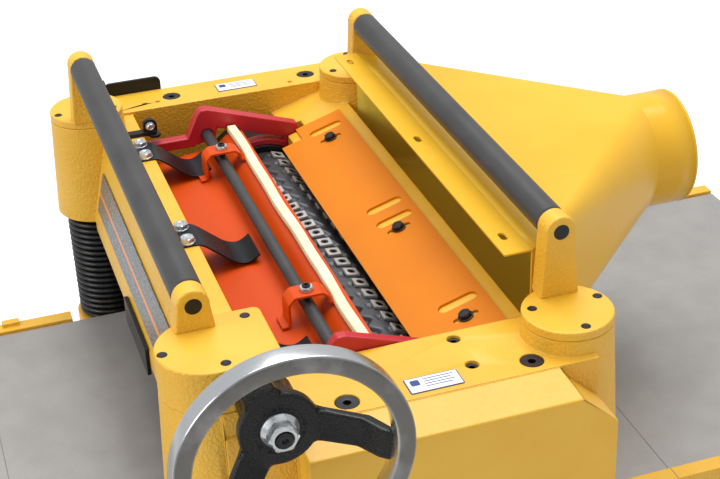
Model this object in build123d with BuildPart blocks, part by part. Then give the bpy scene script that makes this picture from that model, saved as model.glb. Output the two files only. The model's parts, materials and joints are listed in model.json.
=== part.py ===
import math
import os

from build123d import *

# Thickness planer, 508 mm class. Millimetres. +Z up from the floor, +X operator's right, +Y feed direction.
WALL_TOP = 1090
TABLE_TOP = 865
HEAD_BOTTOM = 955
COLUMN_X = 298
COLUMN_Y = 161
POST_R = 28
POST_BORE = 18
SCREW_R = 11
HOUSING_BOTTOM = 990
BASE_BOTTOM = 520
BASE_TOP = 580
BOSS_BOTTOM = 775
BOSS_TOP = 850
FAR_IN = -319
FAR_OUT = -372
NEAR_IN = 260
NEAR_OUT = 345
CUT_Y = 31
CUT_Z = 998
CUT_R = 44
INSERT_ROWS = 8
INSERT_PITCH = 22.3
FEED_Z = 974
INFEED_Y = -53
OUTFEED_Y = 114
FEED_R = 25
FAR_BLOCK_X = -346
NEAR_BLOCK_X = 328
FINGER_Y = -125
FINGER_Z = 1000
RETURN_Y = 163.5
RETURN_Z = 1178
RETURN_R = 14
WHEEL_Y = -128.2
WHEEL_Z = 1128.2
PLATE_TILT = 16.9
FIT = 0.05
CORNERS = [(298, -161), (-298, -161), (298, 161), (-298, 161)]
CAP_SCREWS = [(287, 132), (289, 194), (330, 163)]
GEAR_CAP_SCREWS = [(301, -197), (331, -152), (268, -120)]

rear_tilt = Location((0, 87.5, 1066.05), (PLATE_TILT, 0, 0))

os.makedirs("parts", exist_ok=True)


def save(node, name):
    node.label = name
    export_step(node, f"parts/{name}.step")


def slab(x0, x1, y0, y1, z0, z1, mode=Mode.ADD):
    with Locations(((x0 + x1) / 2, (y0 + y1) / 2, (z0 + z1) / 2)):
        Box(x1 - x0, y1 - y0, z1 - z0, mode=mode)


def rod_z(x, y, z0, z1, radius, mode=Mode.ADD):
    with Locations((x, y, (z0 + z1) / 2)):
        Cylinder(radius, z1 - z0, mode=mode)


def rod_x(y, z, x0, x1, radius, mode=Mode.ADD):
    with Locations(Location(((x0 + x1) / 2, y, z), (0, 90, 0))):
        Cylinder(radius, x1 - x0, mode=mode)


def prism_x(points, x0, x1, mode=Mode.ADD):
    with BuildSketch(Plane.YZ.offset(x0)) as profile:
        Polygon(*points, align=None)
    extrude(profile.sketch, amount=x1 - x0, mode=mode)


def belt_outline(circles, grow):
    """The filled outline of a belt round circles listed anticlockwise, each grown by the same amount."""
    corners = []
    for (x1, y1, r1), (x2, y2, r2) in zip(circles, circles[1:] + circles[:1]):
        span = math.hypot(x2 - x1, y2 - y1)
        along = (r1 - r2) / span
        across = math.sqrt(1 - along**2)
        nx = (along * (x2 - x1) + across * (y2 - y1)) / span
        ny = (along * (y2 - y1) - across * (x2 - x1)) / span
        corners.append((x1 + nx * (r1 + grow), y1 + ny * (r1 + grow)))
        corners.append((x2 + nx * (r2 + grow), y2 + ny * (r2 + grow)))
    Polygon(*corners, align=None)
    for x, y, r in circles:
        with Locations((x, y)):
            Circle(r + grow)


def hull_loop(plane, thickness, circles, half):
    """A belt or chain of thickness twice half, wrapped round the circles."""
    with BuildSketch(plane) as outside:
        belt_outline(circles, half)
    extrude(outside.sketch, amount=thickness)
    with BuildSketch(plane) as inside:
        belt_outline(circles, -half)
    extrude(inside.sketch, amount=thickness, mode=Mode.SUBTRACT)


def gear_x(y, z, x0, x1, root_r, tip_r, teeth):
    """A spur gear along X: a root disc with straight-sided teeth."""
    rod_x(y, z, x0, x1, root_r)
    half = math.pi * root_r / teeth / 2
    with BuildSketch(Plane.YZ.offset(x0)) as ring:
        with Locations((y, z)):
            with PolarLocations(0, teeth):
                Polygon(
                    (root_r - 1, -half),
                    (tip_r, -half * 0.5),
                    (tip_r, half * 0.5),
                    (root_r - 1, half),
                    align=None,
                )
    extrude(ring.sketch, amount=x1 - x0)


# Stand and base
with BuildPart() as stand_cabinet:
    slab(FAR_OUT, 345, -200, 200, 0, BASE_BOTTOM)
    slab(FAR_OUT + 3, 342, -197, 197, 3, BASE_BOTTOM - 3, Mode.SUBTRACT)
    slab(-40, 300, -201, -190, 90, 430, Mode.SUBTRACT)
    slab(-45, 305, -203, -200, 85, 435)
    rod_x(0, 200, FAR_OUT - 5, FAR_OUT + 5, 20, Mode.SUBTRACT)
    slab(-300, -20, -110, 110, 3, 110)
save(stand_cabinet.part, "stand_cabinet")

with BuildPart() as base_casting:
    slab(FAR_OUT, 360, -215, 215, BASE_BOTTOM, BASE_TOP)
    slab(-356, 344, -199, 199, BASE_BOTTOM + 6, BASE_TOP - 16, Mode.SUBTRACT)
    for x, y in CORNERS:
        rod_z(x, y, BASE_TOP - 16, BASE_TOP + 1, SCREW_R + FIT, Mode.SUBTRACT)
        rod_z(x, y, BASE_TOP - 8, BASE_TOP + 1, POST_R, Mode.SUBTRACT)
save(base_casting.part, "base_casting")

with BuildPart() as posts:
    for x, y in CORNERS:
        top = WALL_TOP - 15 if (x, y) == CORNERS[0] else WALL_TOP + 10
        slot_x = math.copysign(23, -x)
        rod_z(x, y, BASE_TOP - 8, top, POST_R)
        rod_z(x, y, BASE_TOP - 8, top, POST_BORE, Mode.SUBTRACT)
        slab(x + slot_x - 8, x + slot_x + 8, y - 6.5, y + 6.5, 600, 985, Mode.SUBTRACT)
save(posts.part, "posts")

# Motor and belt drive
with BuildPart() as motor:
    rod_x(0, 200, -300, -20, 88)
    rod_x(0, 200, -304, -40, 14 + FIT, Mode.SUBTRACT)
    rod_x(0, 200, -240, -80, 60, Mode.SUBTRACT)
    slab(-260, -60, -80, 80, 110, 125)
save(motor.part, "motor")

with BuildPart() as motor_rotor:
    rod_x(0, 200, -425, -45, 14)
    rod_x(0, 200, -230, -90, 57)
    rod_x(0, 200, -424, -382, 66)
    for x in (-415, -403, -391):
        rod_x(0, 200, x - 4.6, x + 4.6, 80, Mode.SUBTRACT)
        rod_x(0, 200, x - 4.6, x + 4.6, 57.5)
save(motor_rotor.part, "motor_rotor")

with BuildPart() as drive_belts:
    for x in (-415, -403, -391):
        hull_loop(Plane.YZ.offset(x - 4.2), 8.4, [(0, 200, 62), (CUT_Y, CUT_Z, 42)], 4)
save(drive_belts.part, "drive_belts")

with BuildPart() as belt_guard:
    prism_x([(-90, 110), (90, 110), (96, 960), (88, 1051), (-26, 1051), (-54, 960)], -450, FAR_OUT)
    prism_x(
        [(-86, 114), (86, 114), (92, 960), (84, 1047), (-23, 1047), (-50, 960)],
        -446,
        FAR_OUT,
        Mode.SUBTRACT,
    )
save(belt_guard.part, "belt_guard")

# Table lift
for index, (x, y) in enumerate(CORNERS):
    top = WALL_TOP + 52 if index == 0 else WALL_TOP + 14
    with BuildPart() as leadscrew:
        rod_z(x, y, BASE_BOTTOM + 10, top, SCREW_R)
        rod_z(x, y, 538, 546, 22)
        rod_z(x, y, 533, 551, 16)
    save(leadscrew.part, f"leadscrew_{index + 1}")

with BuildPart() as drive_chains:
    with BuildSketch(Plane.XY.offset(539)):
        RectangleRounded(2 * COLUMN_X + 52, 2 * COLUMN_Y + 52, 26)
        RectangleRounded(2 * COLUMN_X + 44.6, 2 * COLUMN_Y + 44.6, 22.3, mode=Mode.SUBTRACT)
    extrude(amount=6)
    hull_loop(Plane.YZ.offset(370), 6, [(INFEED_Y, FEED_Z, 36), (OUTFEED_Y, FEED_Z, 36), (65, 1038, 13)], 2.5)
save(drive_chains.part, "drive_chains")

with BuildPart() as table_nuts:
    for x, y in CORNERS:
        key_x = math.copysign(1, -x)
        rod_z(x, y, 800, 830, POST_BORE - 0.3)
        with Locations((x + key_x * 23, y, 815)):
            Box(22, 12, 26)
        rod_z(x, y, 790, 840, SCREW_R + FIT, Mode.SUBTRACT)
save(table_nuts.part, "table_nuts")


def bellows(z0, z1, folds):
    """Four folded sleeves round the posts."""
    step = (z1 - z0) / folds
    outer = []
    inner = []
    for i in range(folds):
        outer.append((33, z0 + i * step))
        outer.append((38.5, z0 + (i + 0.5) * step))
        inner.append((31.2, z0 + i * step))
        inner.append((36.7, z0 + (i + 0.5) * step))
    outer.append((33, z1))
    inner.append((31.2, z1))
    for x, y in CORNERS:
        with BuildSketch(Plane.XZ.offset(-y)) as fold:
            with Locations((x, 0)):
                Polygon(*(outer + inner[::-1]), align=None)
        revolve(fold.sketch, axis=Axis((x, y, 0), (0, 0, 1)))


with BuildPart() as bellows_upper:
    bellows(BOSS_TOP + 0.3, HOUSING_BOTTOM - 0.3, 12)
save(bellows_upper.part, "bellows_upper")

with BuildPart() as bellows_lower:
    bellows(BASE_TOP + 0.3, BOSS_BOTTOM - 0.3, 16)
save(bellows_lower.part, "bellows_lower")

# Table
with BuildPart() as table_casting:
    slab(-252, 252, -326, 302, 853, TABLE_TOP)
    slab(-252, 252, -326, 302, 795, 853)
    for x0, x1 in ((-240, -6), (6, 240)):
        for y0, y1 in ((-314, -90), (-78, 78), (90, 290)):
            slab(x0, x1, y0, y1, 794, 853, Mode.SUBTRACT)
    for x, y in CORNERS:
        side = math.copysign(1, x)
        slab(min(side * 240, x), max(side * 240, x), y - 30, y + 30, BOSS_BOTTOM + 5, BOSS_TOP - 5)
        rod_z(x, y, BOSS_BOTTOM, BOSS_TOP, 42)
    for x, y in CORNERS:
        side = math.copysign(1, x)
        rod_z(x, y, BOSS_BOTTOM - 1, BOSS_TOP + 1, POST_R + FIT, Mode.SUBTRACT)
        slab(min(x - side * 35, x), max(x - side * 35, x), y - 6.1, y + 6.1, 801, 829, Mode.SUBTRACT)
    for side in (-1, 1):
        for y0, y1 in ((-326, -215), (215, 302)):
            slab(min(side * 254, side * 272), max(side * 254, side * 272), y0, y1, 800, 868)
            slab(min(side * 250, side * 256), max(side * 250, side * 256), y0, y1, 800, 850)
            slab(min(side * 262, side * 272), max(side * 262, side * 272), y0 + 30, y0 + 50, 868, 873)
    for y in (INFEED_Y, OUTFEED_Y):
        slab(-238, 238, y - 21, y + 21, 820, TABLE_TOP + 1, Mode.SUBTRACT)
        rod_x(y, TABLE_TOP - 19.6, -250, 250, 8 + FIT, Mode.SUBTRACT)
save(table_casting.part, "table_casting")

with BuildPart() as table_extensions:
    for y0, y1 in ((-664, -326), (302, 640)):
        slab(-252, 252, y0, y1, 805, TABLE_TOP)
        slab(-240, 240, y0 + 12, y1 - 12, 804, 853, Mode.SUBTRACT)
        slab(-6, 6, y0 + 5, y1 - 5, 810, 855)
        for side in (-1, 1):
            slab(min(side * 254, side * 272), max(side * 254, side * 272), y0, y1, 805, 868)
            slab(min(side * 250, side * 256), max(side * 250, side * 256), y0, y1, 805, 850)
save(table_extensions.part, "table_extensions")

for name, y in (("bed_roller_front", INFEED_Y), ("bed_roller_rear", OUTFEED_Y)):
    with BuildPart() as bed_roller:
        rod_x(y, TABLE_TOP - 19.6, -236, 236, 20)
        rod_x(y, TABLE_TOP - 19.6, -249, 249, 8)
    save(bed_roller.part, name)

# Head casting
with BuildPart() as head_casting:
    slab(FAR_OUT, FAR_IN, -161, 161, HEAD_BOTTOM, WALL_TOP)
    slab(NEAR_IN, NEAR_OUT, -161, 170, HEAD_BOTTOM, WALL_TOP)
    prism_x(
        [(-105, 1086), (-150, 1086), (-172, 995), (-172, 978),
         (-162, 978), (-160, 995), (-142, 1074), (-105, 1074)],
        FAR_IN,
        NEAR_IN,
    )
    prism_x([(62, 1058.2), (141, 1082.2), (141, 1000), (129, 1000), (129, 1066), (62, 1046)], FAR_IN, NEAR_IN)
    for x0, x1 in ((-272, -252), (247, 260)):
        slab(x0, x1, -152, -90, 1050, 1062.8)
    for x0, x1 in ((-272, -250), (246, 260)):
        slab(x0, x1, 60, 84, 1040, 1090, Mode.SUBTRACT)
    for x0, x1 in ((-258, -250), (250, 258)):
        slab(x0, x1, -137, -113, 990, 1076)
    for x, y in CORNERS[1:]:
        with Locations((x, y, (HOUSING_BOTTOM + WALL_TOP + 15) / 2)):
            Cone(47, 41, WALL_TOP + 15 - HOUSING_BOTTOM)
    with Locations((COLUMN_X, -COLUMN_Y, (HOUSING_BOTTOM + WALL_TOP + 24) / 2)):
        Cone(47, 42, WALL_TOP + 24 - HOUSING_BOTTOM)
    slab(256, 342, -161, -105, HOUSING_BOTTOM, WALL_TOP + 24)
    for x, y in CORNERS:
        rod_z(x, y, 900, HOUSING_BOTTOM, 43, Mode.SUBTRACT)
        top = WALL_TOP - 15 if (x, y) == CORNERS[0] else WALL_TOP + 10
        rod_z(x, y, HOUSING_BOTTOM - 1, top, POST_R, Mode.SUBTRACT)
        rod_z(x, y, HOUSING_BOTTOM - 1, WALL_TOP + 30, SCREW_R + 2, Mode.SUBTRACT)
    for y in (INFEED_Y, OUTFEED_Y):
        for x in (FAR_BLOCK_X, NEAR_BLOCK_X):
            slab(x - 12.1, x + 12.1, y - 20.1, y + 20.1, HEAD_BOTTOM - 1, WALL_TOP - 28, Mode.SUBTRACT)
            rod_z(x, y, WALL_TOP - 29, WALL_TOP + 1, 10.5, Mode.SUBTRACT)
        slab(-345, -300, y - 16, y + 16, HEAD_BOTTOM - 1, FEED_Z + 20, Mode.SUBTRACT)
        slab(255, 350, y - 16, y + 16, HEAD_BOTTOM - 1, FEED_Z + 20, Mode.SUBTRACT)
    rod_x(CUT_Y, CUT_Z, -380, 350, 24, Mode.SUBTRACT)
    rod_x(FINGER_Y, FINGER_Z, -258, 258, 6, Mode.SUBTRACT)
    rod_x(CUT_Y, CUT_Z, NEAR_IN - 1, 300, 42, Mode.SUBTRACT)
    slab(330, 346, -16, 6, 1010, 1022, Mode.SUBTRACT)
    for y, z in ((-5, 1016), (25, 1043), (65, 1038)):
        rod_x(y, z, 331, 346, 6 + FIT, Mode.SUBTRACT)
    for x, y in ((272, 64), (315, 64)):
        rod_z(x, y, WALL_TOP - 10, WALL_TOP + 1, 6, Mode.SUBTRACT)
    for x, y in ((-337, -87), (-337, -72), (-331, 90)):
        rod_z(x, y, WALL_TOP - 12, WALL_TOP + 1, 2.7, Mode.SUBTRACT)
save(head_casting.part, "head_casting")


def ear(x0, x1, y, z0, base_half):
    """An upright rounded ear with a bore for the return roller's axle."""
    prism_x(
        [(y - base_half, z0), (y + base_half, z0), (y + 14.2, RETURN_Z + 2), (y - 14.2, RETURN_Z + 2)],
        x0,
        x1,
    )
    rod_x(y, RETURN_Z, x0, x1, 14.4)
    rod_x(y, RETURN_Z, x0 - 1, x1 + 1, 7.5, Mode.SUBTRACT)


with BuildPart() as column_caps:
    for x, y in CORNERS[1:]:
        side = math.copysign(1, x)
        rod_z(x, y, WALL_TOP + 15, WALL_TOP + 24, 41)
        with Locations((side * 248, y, 1110)):
            Box(16, 90, 20, mode=Mode.SUBTRACT)
        rod_z(x, y, WALL_TOP + 14, WALL_TOP + 18, SCREW_R + 2, Mode.SUBTRACT)
        ear(side * 266 - 10, side * 266 + 10, math.copysign(RETURN_Y, y), WALL_TOP + 23, 19.5)
        for screw_x, screw_y in CAP_SCREWS:
            px = side * screw_x
            py = math.copysign(screw_y, y)
            rod_z(px, py, WALL_TOP + 15, WALL_TOP + 25, 3, Mode.SUBTRACT)
            rod_z(px, py, WALL_TOP + 19, WALL_TOP + 25, 4.5, Mode.SUBTRACT)
save(column_caps.part, "column_caps")

with BuildPart() as gear_column_cap:
    rod_z(COLUMN_X, -COLUMN_Y, WALL_TOP + 24, WALL_TOP + 65, 42)
    slab(256, 342, -161, -105, WALL_TOP + 24, WALL_TOP + 65)
    slab(240, 256, -210, -100, WALL_TOP + 20, WALL_TOP + 70, Mode.SUBTRACT)
    rod_z(COLUMN_X, -COLUMN_Y, WALL_TOP + 23, WALL_TOP + 54, SCREW_R + FIT, Mode.SUBTRACT)
    rod_z(COLUMN_X, -COLUMN_Y, WALL_TOP + 23, WALL_TOP + 48, 24, Mode.SUBTRACT)
    slab(279, 317, -143, -114.5, WALL_TOP + 23, WALL_TOP + 51, Mode.SUBTRACT)
    rod_x(WHEEL_Y, WHEEL_Z, 300, 346, 10 + FIT, Mode.SUBTRACT)
    ear(256, 276, -RETURN_Y, WALL_TOP + 60, 19)
    for px, py in GEAR_CAP_SCREWS:
        rod_z(px, py, WALL_TOP + 60, WALL_TOP + 66, 4.5, Mode.SUBTRACT)
save(gear_column_cap.part, "gear_column_cap")

with BuildPart() as head_fasteners:
    for x, y in CORNERS[1:]:
        for screw_x, screw_y in CAP_SCREWS:
            px = math.copysign(screw_x, x)
            py = math.copysign(screw_y, y)
            rod_z(px, py, WALL_TOP + 15, WALL_TOP + 20, 3)
            rod_z(px, py, WALL_TOP + 19, WALL_TOP + 22, 4.5)
            with BuildSketch(Plane.XY.offset(WALL_TOP + 22)):
                with Locations((px, py)):
                    RegularPolygon(2.4, 6)
            extrude(amount=-2, mode=Mode.SUBTRACT)
    for px, py in GEAR_CAP_SCREWS:
        rod_z(px, py, WALL_TOP + 60, WALL_TOP + 64, 4.5)
    for px, py in ((272, 64), (315, 64)):
        rod_z(px, py, WALL_TOP - 10, WALL_TOP - 3, 6)
    for x in (FAR_BLOCK_X, NEAR_BLOCK_X):
        for y in (INFEED_Y, OUTFEED_Y):
            rod_z(x, y, WALL_TOP - 12, WALL_TOP - 1, 10.5)
            with BuildSketch(Plane.XY.offset(WALL_TOP - 1)):
                with Locations((x, y)):
                    RegularPolygon(3.6, 6)
            extrude(amount=-6, mode=Mode.SUBTRACT)
    for x in (-213, -6.5, 200.5):
        for offset in (-15, 15):
            rod_z(x + offset, -115, 1088, 1089.5, 7)
            with BuildSketch(Plane.XY.offset(1089.5)):
                with Locations((x + offset, -115)):
                    RegularPolygon(6.3, 6)
            extrude(amount=5)
    for x in (-196, 34, 216):
        with Locations(rear_tilt):
            with Locations((x, 12, 2.5)):
                Cylinder(6.5, 5, align=(Align.CENTER, Align.CENTER, Align.MIN))
            with Locations((x, 12, 0)):
                Cylinder(3, 5, align=(Align.CENTER, Align.CENTER, Align.MIN))
save(head_fasteners.part, "head_fasteners")

# Return rollers
for name, y in (("return_roller_front", -RETURN_Y), ("return_roller_rear", RETURN_Y)):
    with BuildPart() as return_roller:
        rod_x(y, RETURN_Z, -255, 255, RETURN_R)
        rod_x(y, RETURN_Z, -255, 255, 7.5 + FIT, Mode.SUBTRACT)
    save(return_roller.part, name)

with BuildPart() as steel_rods:
    for y in (-RETURN_Y, RETURN_Y):
        rod_x(y, RETURN_Z, -275, 275, 7.5)
    rod_x(FINGER_Y, FINGER_Z, -258, 258, 6)
save(steel_rods.part, "steel_rods")

with BuildPart() as kickback_fingers:
    for i in range(25):
        x = -247 + i * 20.2
        rod_x(FINGER_Y, FINGER_Z, x, x + 9, 12)
        prism_x([(-133, 998), (-117, 998), (-120, 958), (-125, 952), (-130, 958)], x, x + 9)
        rod_x(FINGER_Y, FINGER_Z, x - 1, x + 10, 6 + FIT, Mode.SUBTRACT)
save(kickback_fingers.part, "kickback_fingers")

# Cutterhead
with BuildPart() as bearing_housings:
    rod_x(CUT_Y, CUT_Z, FAR_IN, -268, 56)
    rod_x(CUT_Y, CUT_Z, -268, -251, 52)
    rod_x(CUT_Y, CUT_Z, 247, 260, 52)
    rod_x(CUT_Y, CUT_Z, 260, 300, 42)
    rod_x(CUT_Y, CUT_Z, FAR_IN - 1, 301, 20 + FIT, Mode.SUBTRACT)
    slab(FAR_IN, 300, 82, 95, 940, 1013, Mode.SUBTRACT)
    rod_x(INFEED_Y, FEED_Z, FAR_IN - 1, 301, 26, Mode.SUBTRACT)
    rod_x(OUTFEED_Y, FEED_Z, FAR_IN - 1, 301, 26, Mode.SUBTRACT)
    slab(FAR_IN - 1, 301, -60, 120, 930, HEAD_BOTTOM, Mode.SUBTRACT)
save(bearing_housings.part, "bearing_housings")

with BuildPart() as cutterhead:
    rod_x(CUT_Y, CUT_Z, -250, 246, CUT_R)
    rod_x(CUT_Y, CUT_Z, -427, 346, 20)
    gear_x(CUT_Y, CUT_Z, 346, 357, 8, 10, 10)
save(cutterhead.part, "cutterhead")

with BuildPart() as cutter_inserts:
    for row in range(INSERT_ROWS):
        for i in range(22):
            x = -238 + i * INSERT_PITCH
            angle = 26.8 + row * 360 / INSERT_ROWS - i * 2.9
            with Locations(Location((x, CUT_Y, CUT_Z), (angle, 0, 0))):
                with Locations((0, 0, CUT_R + 1.6)):
                    Box(14.5, 14.5, 2.6)
                    Cylinder(2.6, 3, mode=Mode.SUBTRACT)
save(cutter_inserts.part, "cutter_inserts")

with BuildPart() as cutter_pulley:
    rod_x(CUT_Y, CUT_Z, -424, -382, 45.5)
    for x in (-415, -403, -391):
        rod_x(CUT_Y, CUT_Z, x - 4.6, x + 4.6, 60, Mode.SUBTRACT)
        rod_x(CUT_Y, CUT_Z, x - 4.6, x + 4.6, 37.5)
    rod_x(CUT_Y, CUT_Z, -425, -381, 20, Mode.SUBTRACT)
save(cutter_pulley.part, "cutter_pulley")

# Feed rollers, their blocks and springs
for name, y in (("infeed", INFEED_Y), ("outfeed", OUTFEED_Y)):
    with BuildPart() as roller:
        rod_x(y, FEED_Z, -250, 246, FEED_R - (1.5 if name == "infeed" else 0))
        if name == "infeed":
            with BuildSketch(Plane.YZ.offset(-250)):
                with Locations((y, FEED_Z)):
                    with PolarLocations(0, 30):
                        Polygon((FEED_R - 2, -1.4), (FEED_R, 0), (FEED_R - 2, 1.4), align=None)
            extrude(amount=496)
        rod_x(y, FEED_Z, -357, 369, 8)
        gear_x(y, FEED_Z, 369, 377, 29, 31.5, 32)
    save(roller.part, f"{name}_roller")
    with BuildPart() as blocks:
        for x in (FAR_BLOCK_X, NEAR_BLOCK_X):
            slab(x - 12, x + 12, y - 20, y + (20 if name == "infeed" else 10), HEAD_BOTTOM - 1, FEED_Z + 20)
            rod_z(x, y, FEED_Z + 20, FEED_Z + 30, 3.5)
        rod_x(y, FEED_Z, -380, 380, 8 + FIT, Mode.SUBTRACT)
    save(blocks.part, f"{name}_blocks")
    with BuildPart() as springs:
        for x in (FAR_BLOCK_X, NEAR_BLOCK_X):
            with BuildLine(Plane.XY):
                Helix(7.6, 81, 6.4, center=(x, y, FEED_Z + 20.3 + 1.1))
            with BuildSketch(Plane(origin=(x + 6.4, y, FEED_Z + 21.4), z_dir=(0, 1, 0.19))):
                Circle(1.1)
            sweep()
    save(springs.part, f"{name}_springs")

# Feed gearbox
for name, y, z, gear, pinion in (
    ("gear_cluster_1", -5, 1016, (347, 357), (359, 367)),
    ("gear_cluster_2", 25, 1043, (359, 367), (347, 357)),
):
    with BuildPart() as cluster:
        rod_x(y, z, 332, 368, 6)
        gear_x(y, z, gear[0], gear[1], 27.6, 30, 30)
        gear_x(y, z, pinion[0], pinion[1], 8, 10, 10)
    save(cluster.part, name)

with BuildPart() as gear_cluster_3:
    rod_x(65, 1038, 332, 378, 6)
    gear_x(65, 1038, 347, 357, 27.6, 30, 30)
    gear_x(65, 1038, 369, 377, 6.5, 9, 9)
save(gear_cluster_3.part, "gear_cluster_3")

with BuildPart() as gear_cover:
    prism_x([(-104, 930), (170, 930), (170, 1050), (137, 1080), (133, 1090), (-104, 1090)], NEAR_OUT, 385)
    with BuildSketch(Plane.XZ.offset(120)):
        Polygon((344, 1090.5), (386, 1080), (386, 1095), (344, 1095), align=None)
    extrude(amount=-300, mode=Mode.SUBTRACT)
    prism_x([(-99, 935), (165, 935), (165, 1046), (133, 1075), (-99, 1075)], NEAR_OUT - 1, 380, Mode.SUBTRACT)
save(gear_cover.part, "gear_cover")

# Rear deflector plate and pressure bar
with BuildPart() as rear_plate:
    with BuildSketch(Plane.XY):
        with Locations((-2.5, 0)):
            Rectangle(497, 82.6)
        with Locations((-251 + 14, -41.3 + 13)):
            Rectangle(28, 26, mode=Mode.SUBTRACT)
        with Locations((-222, 14), (-17, 14), (14, 14), (190, 14)):
            SlotOverall(40, 13, rotation=90, mode=Mode.SUBTRACT)
        with Locations((-196, 12), (34, 12), (216, 12)):
            SlotOverall(26, 7, rotation=90, mode=Mode.SUBTRACT)
    extrude(amount=2.5)
save(rear_tilt * rear_plate.part, "rear_plate")

with BuildPart() as pressure_bar:
    slab(-248, 246, 81.5, 86.5, 951, 1051.5)
save(pressure_bar.part, "pressure_bar")

# Chipbreaker
with BuildPart() as chipbreaker_arms:
    for x0, x1 in ((-266, -252), (248, 259)):
        prism_x(
            [(-102, 1075), (-56, 1075), (-43, 1102), (-38, 1107), (-30, 1107), (75, 1071), (79, 1052),
             (74, 1030), (58, 1030), (58, 1056), (-8, 1078), (-20, 1082), (-24, 1066), (-42, 1066),
             (-50, 1063), (-102, 1063)],
            x0,
            x1,
        )
        rod_x(CUT_Y, CUT_Z, x0, x1, 60)
        rod_x(CUT_Y, CUT_Z, x0, x1, 52 + FIT, Mode.SUBTRACT)
        slab(x0, x1, -60, 120, 920, 957, Mode.SUBTRACT)
        slab(x0, x1, 76, 120, 920, 1030, Mode.SUBTRACT)
        slab(x0, x1, -60, -20, 920, 1010, Mode.SUBTRACT)
        rod_x(-33, 1076, x0, x1, 6.5, Mode.SUBTRACT)
save(chipbreaker_arms.part, "chipbreaker_arms")

with BuildPart() as chipbreaker_bar:
    rod_x(-33, 1076, -266, 259, 6.5)
save(chipbreaker_bar.part, "chipbreaker_bar")

with BuildPart() as chipbreaker_plate:
    prism_x(
        [(-125, 1028), (-98, 1048), (-60, 1055), (-25, 1057), (-10, 1072), (8, 1074),
         (8, 1077), (-11, 1075), (-26, 1060), (-60, 1058), (-99, 1051), (-126, 1031)],
        -248,
        244,
    )
save(chipbreaker_plate.part, "chipbreaker_plate")

with BuildPart() as chipbreaker_shoe:
    prism_x([(-25, 1056.8), (-20, 1056.8), (-20, 960), (-12, 955), (-12, 951), (-25, 951)], -248, 244)
save(chipbreaker_shoe.part, "chipbreaker_shoe")

with BuildPart() as seal_strip:
    prism_x([(-10, 1075.3), (1, 1076.4), (1, 1085), (-10, 1085)], -248, 244)
save(seal_strip.part, "seal_strip")

with BuildPart() as chipbreaker_brackets:
    for x in (-180, 145):
        prism_x(
            [(-68, 1057.5), (-60, 1058.2), (-50, 1088), (-18, 1088), (-14, 1072.8), (-10, 1076.2),
             (-14, 1091), (-52, 1091), (-63, 1061), (-68, 1060.5)],
            x - 10,
            x + 10,
        )
        rod_z(x, -33, 1082.5, 1097, 4)
        rod_z(x, -33, 1091, 1095, 6.5)
save(chipbreaker_brackets.part, "chipbreaker_brackets")

with BuildPart() as leaf_springs:
    for x in (-213, -6.5, 200.5):
        prism_x(
            [(-128, 1086), (-102, 1086), (-84, 1078), (-66, 1058.6), (-60, 1058.6), (-50, 1068), (-51, 1070),
             (-61, 1060.6), (-66, 1060.6), (-84, 1080), (-102, 1088), (-128, 1088)],
            x - 22,
            x + 22,
        )
save(leaf_springs.part, "leaf_springs")

with BuildPart() as black_brackets:
    for x in (-259, 250):
        slab(x - 5, x + 5, -128, -90, 1086, 1091)
        rod_z(x, -97, 1086, 1096, 8)
        rod_z(x, -97, 1082, 1101, 4)
    slab(-62, 50, -176, -172, 968, 1000)
    slab(-376, -372, -128, -60, 1040, 1107)
save(black_brackets.part, "black_brackets")

with BuildPart() as label_plates:
    prism_x([(-158.2, 1056), (-169, 1011.3), (-170, 1011.5), (-159.2, 1056.2)], -240, 240)
    slab(317, 339, 0, 48, WALL_TOP, WALL_TOP + 0.8)
    slab(-356, -334, 2, 50, WALL_TOP, WALL_TOP + 0.8)
save(label_plates.part, "label_plates")

# Dust hood
def hood_taper(y0, y1, shrink, mode=Mode.ADD):
    """The hood's taper from its wide mouth to its round port."""
    with BuildSketch(Plane.XZ.offset(-y0)) as mouth:
        with Locations((-2, 1080)):
            Rectangle(496 - 2 * shrink, 136 - 2 * shrink)
    with BuildSketch(Plane.XZ.offset(-y1)) as port:
        with Locations((0, 1090)):
            Circle(63 - shrink)
    loft([mouth.sketch, port.sketch], mode=mode)


with BuildPart() as dust_hood:
    hood_taper(150, 378, 0)
    with Locations(Location((0, 400, 1090), (90, 0, 0))):
        Cylinder(62, 48)
    hood_taper(149, 379, 2, Mode.SUBTRACT)
    with Locations(Location((0, 400, 1090), (90, 0, 0))):
        Cylinder(60, 60, mode=Mode.SUBTRACT)
    slab(-250, 246, 123, 150, 1146, 1148)
    slab(-248, 244, 141, 150, 1012, 1014)
    for x in (-200, 0, 200):
        slab(x - 7, x + 7, 129.5, 136.5, 1145, 1149, Mode.SUBTRACT)
save(dust_hood.part, "dust_hood")

# Handwheel and worm drive
with BuildPart() as handwheel:
    rod_x(WHEEL_Y, WHEEL_Z, 425, 445, 94.6)
    rod_x(WHEEL_Y, WHEEL_Z, 424, 446, 79.6, Mode.SUBTRACT)
    rod_x(WHEEL_Y, WHEEL_Z, 386.5, 396.5, 32.5)
    rod_x(WHEEL_Y, WHEEL_Z, 350, 386.5, 24)
    for angle in (-9, 111, 231):
        across = math.cos(math.radians(angle))
        up = math.sin(math.radians(angle))
        radial = Plane(origin=(0, WHEEL_Y, WHEEL_Z), x_dir=(0, across, up), z_dir=(0, -up, across))
        with BuildSketch(radial) as arm:
            Polygon(
                (20, -387), (36, -387.5), (70, -404), (82, -422), (82, -435),
                (74, -431), (66, -415), (36, -397), (20, -396.5),
                align=None,
            )
        extrude(arm.sketch, amount=12.5, both=True)
    rod_x(WHEEL_Y, WHEEL_Z, 340, 400, 10, Mode.SUBTRACT)
save(handwheel.part, "handwheel")

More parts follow.
